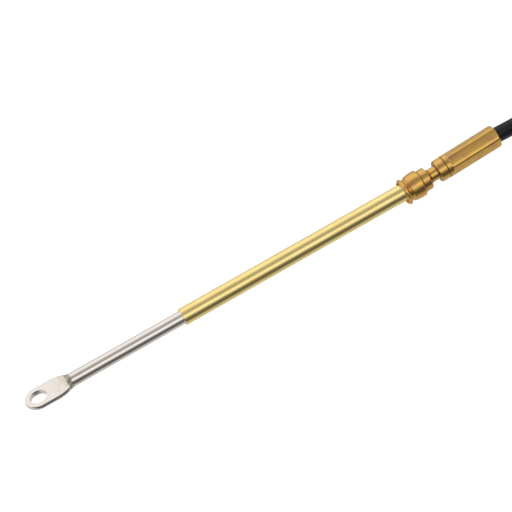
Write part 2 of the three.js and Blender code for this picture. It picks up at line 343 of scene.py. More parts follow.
@dataclass(frozen=True)
class PlatedTube:
    """Pale yellow plating on a drawn tube: satin, with fine lines along it."""

    colour: Colour = (0.98, 0.785, 0.33)
    deep_colour: Colour = (0.92, 0.69, 0.25)
    roughness: float = 0.17
    line_depth: float = 0.004 * MM
    line_scale: Scale = (50.0, 2200.0, 2200.0)
    cloud_scale: Scale = (90.0, 260.0, 260.0)

    def make(self, name: str) -> bpy.types.Material:
        """Makes the material of that name."""
        material, sheet = surface_material(name)
        place = sheet.position()
        lines = sheet.noise(place, self.line_scale, 3.0)
        cloud = sheet.noise(place, self.cloud_scale, 3.0)
        close_material(
            sheet,
            {
                "Base Color": sheet.mix(cloud.step(0.4, 0.7) * 0.6, self.colour, self.deep_colour),
                "Metallic": 1.0,
                "Roughness": self.roughness + lines * 0.06 + cloud * 0.08,
                "Normal": sheet.bump(lines, self.line_depth),
            },
        )
        return material


@dataclass(frozen=True)
class WorkedBrass:
    """Turned and crimped brass with copper and bronze tints and tarnish specks, with painted shade in its grooves.
    """

    colour: Colour = (0.74, 0.45, 0.115)
    copper: Colour = (0.65, 0.35, 0.14)
    # Dark colour of the real tarnish specks and of the painted shade in the grooves
    tarnish_and_groove_shade: Colour = (0.20, 0.10, 0.045)
    roughness: float = 0.14
    line_depth: float = 0.006 * MM
    groove_reach: float = 0.45 * MM
    groove_core: float = 0.1 * MM
    groove_shade: float = 0.65
    turned_scale: Scale = (3.0, 5200.0, 1.0)
    cloud_scale: Scale = (230.0, 330.0, 330.0)
    speck_scale: Scale = (1500.0, 1500.0, 1500.0)

    def make(self, name: str, grooves: tuple[float, ...]) -> bpy.types.Material:
        """Makes the material.

        Args:
            name: its name.
            grooves: places along the hub, from its mouth, where shade is painted.

        Returns:
            The material.
        """
        material, sheet = surface_material(name)
        place = sheet.position()
        surface = sheet.along_surface()
        turned = sheet.noise(surface, self.turned_scale, 3.0)
        cloud = sheet.noise(place, self.cloud_scale, 4.0)
        speck = sheet.noise(place, self.speck_scale, 3.0)
        along = sheet.part(surface, "Y")
        # Real tarnish specks and painted shade in each groove and crease share one mask and one dark colour
        specks_and_groove_shade: Wire | float = speck.step(0.66, 0.8) * 0.35
        for groove in grooves:
            near = abs(along - groove).step(self.groove_reach, self.groove_core)
            specks_and_groove_shade = specks_and_groove_shade + near * self.groove_shade
        metal = sheet.mix(cloud.step(0.42, 0.72), self.colour, self.copper)
        close_material(
            sheet,
            {
                "Base Color": sheet.mix(specks_and_groove_shade, metal, self.tarnish_and_groove_shade),
                "Metallic": 1.0,
                "Roughness": self.roughness + turned * 0.06 + cloud * 0.1 + specks_and_groove_shade * 0.15,
                "Normal": sheet.bump(turned, self.line_depth),
            },
        )
        return material


@dataclass(frozen=True)
class ExtrudedPlastic:
    """Black extruded plastic with a satin skin and faint lines along it."""

    colour: Colour = (0.011, 0.008, 0.011)
    dust: Colour = (0.022, 0.02, 0.024)
    roughness: float = 0.36
    line_depth: float = 0.01 * MM
    lines_along: float = 35.0
    grain_scale: Scale = (1900.0, 1900.0, 1900.0)

    def make(self, name: str, lines_around: float = 160.0) -> bpy.types.Material:
        """Makes the material.

        Args:
            name: its name.
            lines_around: lines in one turn around the piece.

        Returns:
            The material.
        """
        material, sheet = surface_material(name)
        surface = sheet.along_surface()
        place = sheet.position()
        lines = sheet.noise(surface, (lines_around, self.lines_along, 1.0), 2.0)
        grain = sheet.noise(place, self.grain_scale, 3.0)
        close_material(
            sheet,
            {
                "Base Color": sheet.mix(grain.step(0.5, 0.8) * 0.7, self.colour, self.dust),
                "Roughness": self.roughness + lines * 0.08 + grain * 0.1,
                "Specular IOR Level": 0.3,
                "Normal": sheet.bump(lines * 0.7 + grain * 0.3, self.line_depth),
            },
        )
        return material


# Surfaces


def grid_object(
    name: str, grid: np.ndarray, wrap_rows: bool = False, along: np.ndarray | None = None
) -> bpy.types.Object:
    """Makes a closed object from a grid of points whose columns go around.

    Each quad joins points (i, j), (i, j + 1), (i + 1, j + 1) and (i + 1, j). Points that coincide,
    as at a pole, become one.

    Args:
        name: the object's name.
        grid: points by row, column and axis.
        wrap_rows: whether the last row joins the first.
        along: metres along the piece for each row, for the UV map.

    Returns:
        The object, with faces outwards and smooth.
    """
    rows, columns, _ = grid.shape
    index = np.arange(rows * columns).reshape(rows, columns)
    last = rows if wrap_rows else rows - 1
    here = index[:last]
    after = np.roll(index, -1, axis=0)[:last]
    quads = np.stack((here, np.roll(here, -1, 1), np.roll(after, -1, 1), after), axis=-1).reshape(-1, 4)
    mesh = bpy.data.meshes.new(name)
    mesh.from_pydata(grid.reshape(-1, 3), [], quads.tolist())

    turn = np.arange(columns) / columns
    if along is None:
        along = np.zeros(rows)
    ahead = np.roll(along, -1)
    corners = np.empty((last, columns, 4, 2))
    corners[..., 0] = turn[None, :, None] + np.array((0.0, 1.0, 1.0, 0.0)) / columns
    corners[..., 1] = np.stack((along, along, ahead, ahead), axis=-1)[:last, None, :]
    mesh.uv_layers.new(name="UVMap").data.foreach_set("uv", corners.ravel())

    shape = bmesh.new()
    shape.from_mesh(mesh)
    bmesh.ops.remove_doubles(shape, verts=shape.verts, dist=1e-7)
    bmesh.ops.recalc_face_normals(shape, faces=shape.faces)
    shape.to_mesh(mesh)
    shape.free()
    piece = bpy.data.objects.new(name, mesh)
    bpy.context.scene.collection.objects.link(piece)
    smooth(piece)
    return piece


def smooth(piece: bpy.types.Object, crease: float = math.radians(38.0)) -> None:
    """Shades a piece smooth, with its edges sharper than the crease angle kept sharp."""
    piece.data.shade_smooth()
    piece.data.set_sharp_from_angle(angle=crease)


def rounded_outline(corners: Outline, steps: int = 4) -> np.ndarray:
    """Rounds the corners of a closed outline.

    A corner of radius q, whose sides meet at the angle w, is replaced by an arc that touches them
    q / tan(w / 2) from the corner: centre + start * sin((1 - t) * v) / sin(v) + end * sin(t * v) /
    sin(v), where v is the arc's angle and t goes from 0 to 1.

    Args:
        corners: place along, place across and radius of each corner.
        steps: pieces of each arc.

    Returns:
        Points of the outline, by place along and across.
    """
    data = np.array(corners)
    points, radii = data[:, :2], data[:, 2]
    share = np.linspace(0.0, 1.0, steps + 1)[:, None]
    result: list[np.ndarray] = []
    for before, point, after, radius in zip(np.roll(points, 1, 0), points, np.roll(points, -1, 0), radii):
        back, ahead = before - point, after - point
        reach_back, reach_ahead = np.linalg.norm(back), np.linalg.norm(ahead)
        back, ahead = back / reach_back, ahead / reach_ahead
        between = math.acos(float(np.clip(back @ ahead, -1.0, 1.0)))
        if radius <= 0.0 or between > math.pi - 0.03:
            result.append(point[None])
            continue
        touch = min(radius / math.tan(between / 2), 0.48 * reach_back, 0.48 * reach_ahead)
        arc = math.pi - between
        centre = point + (back + ahead) / np.linalg.norm(back + ahead) * touch / math.cos(between / 2)
        start, end = point + back * touch - centre, point + ahead * touch - centre
        swing = start * np.sin((1 - share) * arc) + end * np.sin(share * arc)
        result.append(centre + swing / math.sin(arc))
    return np.vstack(result)


def turned(outline: np.ndarray, sides: int) -> np.ndarray:
    """Turns an outline about X: point (a, r) becomes (a, r cos t, r sin t) for t around a full turn.

    Args:
        outline: points by place along X and radius.
        sides: points around.

    Returns:
        The grid of points.
    """
    angle = np.arange(sides) * 2 * math.pi / sides
    along, radius = outline[:, 0:1], outline[:, 1:2]
    return np.stack((along + 0 * angle, radius * np.cos(angle), radius * np.sin(angle)), axis=-1)


def smooth_curve(points: np.ndarray, steps: int) -> np.ndarray:
    """A curve through all points.

    Between two points it is the cubic with their places and tangents, and a tangent is the mean of
    the chords on both sides, each weighted by the other's length.

    Args:
        points: the points.
        steps: pieces between two of them.

    Returns:
        Points along the curve.
    """
    chords = np.diff(points, axis=0)
    lengths = np.linalg.norm(chords, axis=1, keepdims=True)
    slopes = chords / lengths
    inner = (slopes[:-1] * lengths[1:] + slopes[1:] * lengths[:-1]) / (lengths[:-1] + lengths[1:])
    tangents = np.vstack((slopes[:1], inner, slopes[-1:]))
    t = np.linspace(0.0, 1.0, steps, endpoint=False)[None, :, None]
    start, end = points[:-1, None], points[1:, None]
    pull_start, pull_end = (lengths * tangents[:-1])[:, None], (lengths * tangents[1:])[:, None]
    curve = (
        (2 * t**3 - 3 * t**2 + 1) * start
        + (t**3 - 2 * t**2 + t) * pull_start
        + (3 * t**2 - 2 * t**3) * end
        + (t**3 - t**2) * pull_end
    )
    return np.vstack((curve.reshape(-1, 3), points[-1:]))


def evenly(points: np.ndarray, spacing: float) -> np.ndarray:
    """Places points at even distances along a line, by linear interpolation of its running length.

    Args:
        points: the line.
        spacing: wanted distance.

    Returns:
        The new points.
    """
    steps = np.linalg.norm(np.diff(points, axis=0), axis=1)
    reached = np.concatenate(((0.0,), np.cumsum(steps)))
    places = np.linspace(0.0, reached[-1], round(reached[-1] / spacing) + 1)
    return np.stack([np.interp(places, reached, points[:, axis]) for axis in range(3)], axis=-1)


def ease(values: np.ndarray) -> np.ndarray:
    """Smooth step of values from 0 to 1: 3 v^2 - 2 v^3, held outside that range."""
    held = np.clip(values, 0.0, 1.0)
    return held * held * (3.0 - 2.0 * held)


def settle(
    piece: bpy.types.Object, material: bpy.types.Material, body: Body, slot: Slot, *nodes: str
) -> bpy.types.Object:
    """Dresses a piece and ties it to the frame.

    Args:
        piece: the piece.
        material: its finish.
        body: the body that it rides on.
        slot: the record's slot of its finish; not used.
        nodes: the frame's nodes that it stands for.

    Returns:
        The piece.
    """
    piece.data.materials.clear()
    piece.data.materials.append(material)
    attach(piece, body.value)
    if nodes:
        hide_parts(*nodes)
    log.info("%s: %d faces on body %s", piece.name, len(piece.data.polygons), body.value)
    return piece


# Where things are in the frame


def joint_place(name: str) -> np.ndarray:
    """Place of a joint of the frame, by its name."""
    joint = next(joint for joint in frame["joints"] if joint["name"] == name)
    return np.array(joint["pos_m"])


def flat_heading() -> float:
    """Angle that the near hub stands turned about Z, from the direction of its crimped flat."""
    mount = next(mount for mount in frame["record"]["mounts"] if mount["name"] == "barrel_flat")
    return math.atan2(mount["axis"][0], -mount["axis"][1])


@dataclass(frozen=True)
class Stand:
    """Where one end of the cable stands: its ball's centre, and its hub's heading about Z."""

    ball: np.ndarray
    heading: float

    def direction(self) -> np.ndarray:
        """Unit vector from the ball towards the barrel's end."""
        return np.array((math.cos(self.heading), math.sin(self.heading), 0.0))

    def place(self, points: np.ndarray) -> np.ndarray:
        """Turns points about Z by the heading and moves them from the origin to the ball.

        Args:
            points: points around a ball at the origin whose hub points along X.

        Returns:
            The points where they stand.
        """
        cos, sin = math.cos(self.heading), math.sin(self.heading)
        turn = np.array(((cos, -sin, 0.0), (sin, cos, 0.0), (0.0, 0.0, 1.0)))
        return points @ turn.T + self.ball


# Camera, floor and light


@dataclass(frozen=True)
class Viewpoint:
    """The photograph's camera, fixed by where one point of the sleeve's axis lies in the picture."""

    elevation: float = math.radians(40.0)
    turn: float = math.radians(7.0)
    roll: float = math.radians(29.5)
    distance: float = 2.2
    picture: float = 512.0
    metres_per_pixel: float = 0.4365 * MM
    axis_pixel: tuple[float, float] = (292.56, 254.86)
    axis_from_ball: float = -62.25 * MM
    sensor: float = 36.0

    def build(self, ball: np.ndarray) -> bpy.types.Object:
        """Makes the scene's camera.

        Args:
            ball: centre of the near swivel ball.

        Returns:
            The camera.
        """
        flat = math.cos(self.turn)
        ahead = np.array(
            (math.sin(self.turn), flat * math.cos(self.elevation), -flat * math.sin(self.elevation))
        )
        axis = np.array((1.0, 0.0, 0.0))
        axis = axis - (axis @ ahead) * ahead
        axis = axis / np.linalg.norm(axis)
        across = np.cross(axis, ahead)
        right = math.cos(self.roll) * axis - math.sin(self.roll) * across
        up = math.sin(self.roll) * axis + math.cos(self.roll) * across
        known = ball + np.array((self.axis_from_ball, 0.0, 0.0))
        offset_right = (self.axis_pixel[0] - self.picture / 2) * self.metres_per_pixel
        offset_up = (self.picture / 2 - self.axis_pixel[1]) * self.metres_per_pixel
        place = known - self.distance * ahead - offset_right * right - offset_up * up

        data = bpy.data.cameras.new("photo_camera")
        data.sensor_width = self.sensor
        data.lens = self.sensor * self.distance / (self.picture * self.metres_per_pixel)
        camera = bpy.data.objects.new("photo_camera", data)
        columns = np.stack((right, up, -ahead), axis=-1)
        camera.matrix_world = Matrix.Translation(place.tolist()) @ Matrix(columns.tolist()).to_4x4()
        bpy.context.scene.collection.objects.link(camera)
        bpy.context.scene.camera = camera
        return camera


@dataclass(frozen=True)
class Studio:
    """A pale floor in a soft, banded light like that of long boxes along the cable."""

    floor_half: float = 3.0
    floor_drop: float = 0.05 * MM
    floor_colour: Colour = (0.45, 0.45, 0.45)
    floor_glow: float = 0.9
    strength: float = 1.25
    # Elevation from the front horizon over the top, in degrees, and brightness there
    bands: tuple[tuple[float, float], ...] = (
        (-180.0, 0.50),
        (-83.0, 0.54),
        (-66.0, 0.50),
        (-52.0, 0.38),
        (-38.0, 0.14),
        (-25.0, 0.09),
        (-12.0, 0.09),
        (0.0, 0.18),
        (13.0, 0.50),
        (24.0, 0.92),
        (42.0, 0.95),
        (50.0, 0.50),
        (57.0, 0.36),
        (78.0, 0.32),
        (90.0, 0.46),
        (104.0, 0.82),
        (126.0, 0.88),
        (149.0, 0.80),
        (165.0, 0.60),
        (180.0, 0.50),
    )

    def build_floor(self) -> bpy.types.Object:
        """Makes the floor, which the metal doesn't mirror, so that it shows the room instead."""
        reach = self.floor_half
        corners = [(-reach, -reach), (reach, -reach), (reach, reach), (-reach, reach)]
        mesh = bpy.data.meshes.new("floor")
        mesh.from_pydata([(x, y, -self.floor_drop) for x, y in corners], [], [(0, 1, 2, 3)])
        floor = bpy.data.objects.new("floor", mesh)
        bpy.context.scene.collection.objects.link(floor)
        material, sheet = surface_material("pale_floor")
        close_material(
            sheet,
            {
                "Base Color": self.floor_colour,
                "Roughness": 0.9,
                "Specular IOR Level": 0.0,
                "Emission Color": (1.0, 1.0, 1.0),
                "Emission Strength": self.floor_glow,
            },
        )
        mesh.materials.append(material)
        floor.visible_glossy = False
        return floor

    def build_light(self) -> None:
        """Lights the scene by a world whose brightness depends only on the elevation across the cable."""
        world = bpy.data.worlds.new("soft_studio")
        world.use_nodes = True
        bpy.context.scene.world = world
        sheet = NodeSheet(world.node_tree)
        ray = sheet.add("ShaderNodeTexCoord", output="Generated")
        height = sheet.part(ray, "Z")
        front = -sheet.part(ray, "Y")
        angle = sheet.add("ShaderNodeMath", {"operation": "ARCTAN2"}, {0: height, 1: front})
        stops = [(0.5 + degrees / 360.0, (level, level, level)) for degrees, level in self.bands]
        ramp = sheet.add("ShaderNodeValToRGB", {"stops": stops}, {0: angle / (2 * math.pi) + 0.5})
        light = sheet.add("ShaderNodeBackground", inputs={"Color": ramp, "Strength": self.strength})
        node = sheet.tree.nodes.new("ShaderNodeOutputWorld")
        sheet.tree.links.new(light.socket, node.inputs["Surface"])


# The cable's own pieces


@dataclass(frozen=True)
class HubSizes:
    """Sizes of a hub, measured from its mouth along its axis, and their diameters."""

    length: float = 49.4 * MM
    mouth_to_ball: float = 6.9 * MM
    lip_front: float = 10.0 * MM
    lip_crest_at: float = 1.25 * MM
    lip: float = 12.4 * MM
    waist_at: float = 2.95 * MM
    waist: float = 9.94 * MM
    throat: float = 9.16 * MM
    socket_at: float = 3.8 * MM
    socket_front: float = 11.7 * MM
    socket_crest_at: float = 6.9 * MM
    socket: float = 12.4 * MM
    socket_back_at: float = 9.55 * MM
    socket_rounding: float = 1.7 * MM
    crease: float = 9.9 * MM
    collar_at: float = 9.9 * MM
    collar: float = 10.35 * MM
    collar_length: float = 3.3 * MM
    collar_taper: float = 1.15 * MM
    neck: float = 6.4 * MM
    neck_length: float = 3.7 * MM
    flange_nose: float = 1.5 * MM
    flange: float = 10.3 * MM
    flange_length: float = 2.65 * MM
    flange_line: float = 0.22 * MM
    core_bore: float = 4.6 * MM
    ball_room: float = 10.6 * MM
    barrel: float = 10.56 * MM
    barrel_rounding: float = 1.65 * MM
    flats: float = 9.5 * MM
    crimp_at: float = 23.7 * MM
    crimp_ramp: float = 1.5 * MM
    crimp_turn: float = math.radians(47.0)
    crimp_softness: float = 0.2 * MM
    jacket_seat: float = 16.0 * MM
    jacket_bore: float = 7.74 * MM

    def collar_end(self) -> float:
        """Where the collar starts to slope down to the neck."""
        return self.collar_at + self.collar_length

    def neck_start(self) -> float:
        """Where the neck starts."""
        return self.collar_end() + self.collar_taper

    def neck_end(self) -> float:
        """Where the neck meets the flange."""
        return self.neck_start() + self.neck_length

    def flange_end(self) -> float:
        """Where the fine line behind the flange starts."""
        return self.neck_end() + self.flange_nose + self.flange_length

    def grooves(self) -> tuple[float, ...]:
        """Places along the hub where shade is painted into the grooves."""
        crease = (self.socket_back_at + self.collar_at) / 2
        return crease, self.neck_start(), self.neck_end(), self.flange_end() + self.flange_line


@dataclass(frozen=True)
class CrimpedHub:
    """The one-piece hub: bell mouth, ball socket, collar, clip groove, flange and crimped barrel."""

    name: str
    node: str
    stand: Stand
    sizes: HubSizes
    sides: int = 144

    def outline(self) -> np.ndarray:
        """The hub's closed outline, from its mouth over the outside and back through the bore."""
        size = self.sizes
        neck_end, flange_end = size.neck_end(), size.flange_end()
        room = size.ball_room / 2
        throat_at = size.mouth_to_ball - math.sqrt(room**2 - (size.throat / 2) ** 2)
        bore_at = size.mouth_to_ball + math.sqrt(room**2 - (size.core_bore / 2) ** 2)
        seat_at = size.length - size.jacket_seat
        # Each corner: its place along, its radius from the axis, and its rounding
        outside: Outline = [
            (0.0, size.lip_front / 2 + 0.1 * MM, 0.2 * MM),
            (size.lip_crest_at, size.lip / 2 + 0.17 * MM, 0.45 * MM),
            (size.waist_at, size.waist / 2 - 0.1 * MM, 0.5 * MM),
            (size.socket_at, size.socket_front / 2, 0.5 * MM),
            (size.socket_crest_at, size.socket / 2, 6.0 * MM),
            (size.socket_back_at, size.socket / 2, size.socket_rounding),
            (size.socket_back_at, size.crease / 2, 0.08 * MM),
            (size.collar_at, size.crease / 2, 0.08 * MM),
            (size.collar_at, size.collar / 2, 0.28 * MM),
            (size.collar_end(), size.collar / 2, 0.35 * MM),
            (size.neck_start(), size.neck / 2, 0.35 * MM),
            (neck_end, size.neck / 2, 0.25 * MM),
            (neck_end + 0.1 * MM, size.flange / 2, 1.35 * MM),
            (flange_end, size.flange / 2, 0.12 * MM),
            (flange_end + size.flange_line, size.flange / 2 - size.flange_line, 0.05 * MM),
            (flange_end + 2 * size.flange_line, size.barrel / 2, 0.12 * MM),
        ]
        start = flange_end + 3 * size.flange_line
        stretch = np.concatenate(
            (
                np.linspace(start, size.crimp_at, 4),
                size.crimp_at + size.crimp_ramp * np.linspace(0.1, 1.0, 10),
                np.linspace(size.crimp_at + size.crimp_ramp, size.length - 2 * size.barrel_rounding, 12)[1:],
            )
        )
        barrel: Outline = [(float(along), size.barrel / 2, 0.0) for along in stretch]
        first_turn = math.asin(size.core_bore / 2 / room)
        last_turn = math.pi - math.asin(size.throat / 2 / room)
        ball = [
            (size.mouth_to_ball + room * math.cos(turn), room * math.sin(turn), 0.0)
            for turn in np.linspace(first_turn, last_turn, 16)
        ]
        inside: Outline = [
            (size.length, size.barrel / 2, size.barrel_rounding),
            (size.length, size.jacket_bore / 2, 0.15 * MM),
            (seat_at, size.jacket_bore / 2, 0.0),
            (seat_at, size.core_bore / 2, 0.0),
            (bore_at, size.core_bore / 2, 0.0),
            *ball[1:-1],
            (throat_at, size.throat / 2, 0.1 * MM),
            (throat_at + (size.waist_at - throat_at) * 0.7, size.throat / 2, 0.3 * MM),
        ]
        return rounded_outline(outside + barrel + inside, 6)

    def crimp(self, grid: np.ndarray) -> np.ndarray:
        """Presses six flats into the barrel.

        Outside the bore, a radius becomes the smooth minimum of itself and the distance to the
        nearest flat, (flats / 2) / cos(angle from its middle), plus 0.3 of the softness, so that the
        corners keep the barrel's radius. The flats sink in over the ramp.

        Args:
            grid: points around the hub's own axis.

        Returns:
            The pressed points.
        """
        size = self.sizes
        along, y, z = grid[..., 0], grid[..., 1], grid[..., 2]
        radius = np.hypot(y, z)
        angle = np.arctan2(z, y)
        middle = math.pi / 3
        off = (angle + middle / 2) % middle - middle / 2
        open_flat = size.barrel / 2 / math.cos(middle / 2) + 0.1 * MM
        sunk = ease((along - size.crimp_at) / size.crimp_ramp)
        flat = (open_flat + (size.flats / 2 - open_flat) * sunk) / np.cos(off)
        softness = size.crimp_softness
        pressed = 0.3 * softness * sunk - softness * np.logaddexp(-radius / softness, -flat / softness)
        outside = (radius > size.jacket_bore / 2 + 0.05 * MM) & (along > size.crimp_at)
        factor = np.where(outside, np.minimum(pressed / np.maximum(radius, MM), 1.0), 1.0)
        return np.stack((along, y * factor, z * factor), axis=-1)

    def build(self, material: bpy.types.Material) -> bpy.types.Object:
        """Makes the hub in its finish."""
        size = self.sizes
        outline = self.outline()
        grid = self.crimp(turned(outline, self.sides))
        lean = math.pi - size.crimp_turn
        cos, sin = math.cos(lean), math.sin(lean)
        roll = np.array(((1.0, 0.0, 0.0), (0.0, cos, -sin), (0.0, sin, cos)))
        grid = grid @ roll.T - np.array((size.mouth_to_ball, 0.0, 0.0))
        piece = grid_object(self.name, self.stand.place(grid), wrap_rows=True, along=outline[:, 0])
        return settle(piece, material, Body.CABLE, Slot.BRASS, self.node)


@dataclass(frozen=True)
class SleeveTube:
    """The tube that the rod slides in, with the ball formed on its hidden end."""

    stand: Stand
    diameter: float = 7.94 * MM
    bore: float = 6.59 * MM
    edge: float = 0.3 * MM
    ball: float = 10.2 * MM
    ball_back: float = 3.6 * MM
    sides: int = 96

    def build(self, material: bpy.types.Material) -> bpy.types.Object:
        """Makes the tube in its finish."""
        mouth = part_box("sleeve_tube")[0][0] - self.stand.ball[0]
        radius, ball = self.diameter / 2, self.ball / 2
        arc = np.linspace(
            math.pi - math.asin(radius / ball), math.acos(self.ball_back / ball), 14
        )
        outline = rounded_outline(
            [
                (mouth, self.bore / 2, 0.15 * MM),
                (mouth, radius, self.edge),
                *((float(along), radius, 0.0) for along in np.linspace(mouth, 0.0, 14)[1:-1]),
                *((ball * math.cos(turn), ball * math.sin(turn), 0.0) for turn in arc),
                (self.ball_back, self.bore / 2, 0.1 * MM),
            ],
            5,
        )
        grid = turned(outline, self.sides) + self.stand.ball
        piece = grid_object("sleeve_tube_visual", grid, wrap_rows=True, along=outline[:, 0] - mouth)
        return settle(piece, material, Body.SLEEVE, Slot.TUBE, "sleeve_tube")


@dataclass(frozen=True)
class RodEye:
    """The rod with its end forged to a flat, rounded blade that is pierced for a pin."""

    axis: np.ndarray
    tip: float
    inner_end: float
    diameter: float = 6.35 * MM
    width: float = 12.9 * MM
    thickness: float = 2.5 * MM
    hole: float = 7.8 * MM
    straight: float = 7.05 * MM
    taper: float = 7.0 * MM
    bend: tuple[float, float] = (0.56, 0.84)
    bend_width: float = 9.4 * MM
    shoulder: float = 1.9 * MM
    upper_edge: tuple[float, float] = (0.35 * MM, 1.35 * MM)
    lower_edge: float = 0.9 * MM
    hole_rim: float = 0.15 * MM
    cutter_reach: float = 1.5 * MM
    face_steps: int = 7
    bend_steps: int = 8

    def shoulder_place(self) -> float:
        """Place along X of the middle of the forged step."""
        return self.tip + self.width / 2 + self.straight + self.taper + self.shoulder / 2

    def half_outline(self) -> np.ndarray:
        """Half outline seen from above: distance from the tip and half width of each station.

        A quarter circle, a straight stretch, a narrowing by a cubic Bezier curve, and the round rod.
        """
        half, rod, flat = self.width / 2, self.diameter / 2, self.thickness / 2
        turn = np.linspace(0.0, math.pi / 2, 25)
        tip = np.stack((half * (1 - np.cos(turn)), half * np.sin(turn)), axis=-1)
        start = half + self.straight
        foot = start + self.taper
        run = self.taper + self.shoulder
        straight = np.linspace(half, start, 6)[1:]
        handles = np.array(
            (
                (start, half),
                (start + self.bend[0] * run, half),
                (start + self.bend[1] * run, self.bend_width / 2),
                (start + run, math.sqrt(rod**2 - flat**2)),
            )
        )
        t = np.linspace(0.0, 1.0, 121)[1:]
        weights = np.stack(((1 - t) ** 3, 3 * t * (1 - t) ** 2, 3 * t**2 * (1 - t), t**3), axis=-1)
        curve = weights @ handles
        places = np.concatenate((np.linspace(start, foot, 21)[1:], np.linspace(foot, start + run, 9)[1:]))
        narrow = np.stack((places, np.maximum(np.interp(places, curve[:, 0], curve[:, 1]), rod)), axis=-1)
        ends = np.linspace(start + run, self.inner_end - self.tip, 14)[1:]
        flat_part = np.stack((straight, np.full(len(straight), half)), axis=-1)
        return np.vstack((tip, flat_part, narrow, np.stack((ends, np.full(len(ends), rod)), axis=-1)))

    def section(self) -> tuple[np.ndarray, np.ndarray, np.ndarray]:
        """Points around the section, from the middle of the underside over one edge and back.

        Returns:
            For each point its side, the angle around its edge's rounding and the share of the way
            from the edge to the middle.
        """
        face = np.linspace(1.0, 0.0, self.face_steps + 1)[:-1]
        bend = np.linspace(0.0, math.pi / 2, self.bend_steps + 1)
        upright = np.full(len(face), math.pi / 2)
        angle = np.concatenate((-upright, -bend[::-1], bend, upright))
        inward = np.concatenate((face, np.zeros(2 * len(bend)), face[::-1]))
        side = np.repeat((1.0, -1.0), len(angle))
        return side, np.tile(angle, 2), np.tile(inward, 2)

    def body_grid(self) -> np.ndarray:
        """The rod's surface before it is pierced.

        At a station of half thickness t, the edge is widest at the height t - h. Above, it is an
        ellipse's quarter of width c and height h, and below, one of width d and height 2 t - h. A
        point at the angle b lies c or d times (1 - cos b) in from the outline along its normal,
        then goes its share of the way to the middle. Up the step, all of these grow evenly to the
        round rod's radius.
        """
        outline = self.half_outline()
        slope = np.gradient(outline, axis=0)
        slope[0] = (0.0, 1.0)
        normal = np.stack((-slope[:, 1], slope[:, 0]), axis=-1)
        normal = normal / np.linalg.norm(normal, axis=1, keepdims=True)
        foot = self.width / 2 + self.straight + self.taper
        rise = np.clip((outline[:, 0:1] - foot) / self.shoulder, 0.0, 1.0)
        rod, flat = self.diameter / 2, self.thickness / 2
        thick = flat + (rod - flat) * rise
        upper_width, upper_height = (edge + (rod - edge) * rise for edge in self.upper_edge)
        lower_width = self.lower_edge + (rod - self.lower_edge) * rise
        side, angle, inward = self.section()
        above = angle > 0
        inset = np.where(above, upper_width, lower_width) * (1 - np.cos(angle))
        along = outline[:, 0:1] - normal[:, 0:1] * inset
        across = side * (outline[:, 1:2] - normal[:, 1:2] * inset) * (1 - inward)
        reach = np.where(above, upper_height, 2 * thick - upper_height)
        height = thick - upper_height + reach * np.sin(angle)
        near_half, far_half = np.split(np.arange(len(side)), 2)
        order = np.concatenate((near_half, far_half[::-1]))
        grid = np.stack((along, across, height), axis=-1)[:, order]
        end = np.broadcast_to((self.inner_end - self.tip, 0.0, 0.0), (1, len(side), 3))
        return np.vstack((grid, end)) + np.array((self.tip, self.axis[1], self.axis[2]))

    def hole_cutter(self) -> bpy.types.Object:
        """A turned plug about Z whose ends flare, so that the hole's edges are rounded."""
        half, radius, rim = self.thickness / 2, self.hole / 2, self.hole_rim
        bend = np.linspace(0.0, math.radians(70.0), 6)
        flare_radius = radius + rim * (1 - np.cos(bend))
        flare_height = half - rim + rim * np.sin(bend)
        upper = np.stack((flare_height, flare_radius), axis=-1)
        last = upper[-1] + self.cutter_reach * np.array((math.cos(bend[-1]), math.sin(bend[-1])))
        upper = np.vstack((upper, last, (last[0], 0.0)))
        outline = np.vstack((upper[::-1] * (-1.0, 1.0), upper))
        grid = turned(outline, 96)[..., [1, 2, 0]]
        centre = np.array((self.tip + self.width / 2, self.axis[1], self.axis[2]))
        return grid_object("hole_cutter", grid + centre)

    def build(self, material: bpy.types.Material) -> bpy.types.Object:
        """Makes the rod in its finish."""
        grid = self.body_grid()
        piece = grid_object("rod_eye_visual", grid, along=grid[:, 0, 0] - self.tip)
        cutter = self.hole_cutter()
        cut = piece.modifiers.new("pin_hole", "BOOLEAN")
        cut.operation = "DIFFERENCE"
        cut.solver = "EXACT"
        cut.object = cutter
        pierced = bpy.data.meshes.new_from_object(piece.evaluated_get(bpy.context.evaluated_depsgraph_get()))
        piece.modifiers.remove(cut)
        piece.data = pierced
        bpy.data.objects.remove(cutter)
        smooth(piece, math.radians(30.0))
        return settle(piece, material, Body.ROD, Slot.STEEL, "rod_eye")


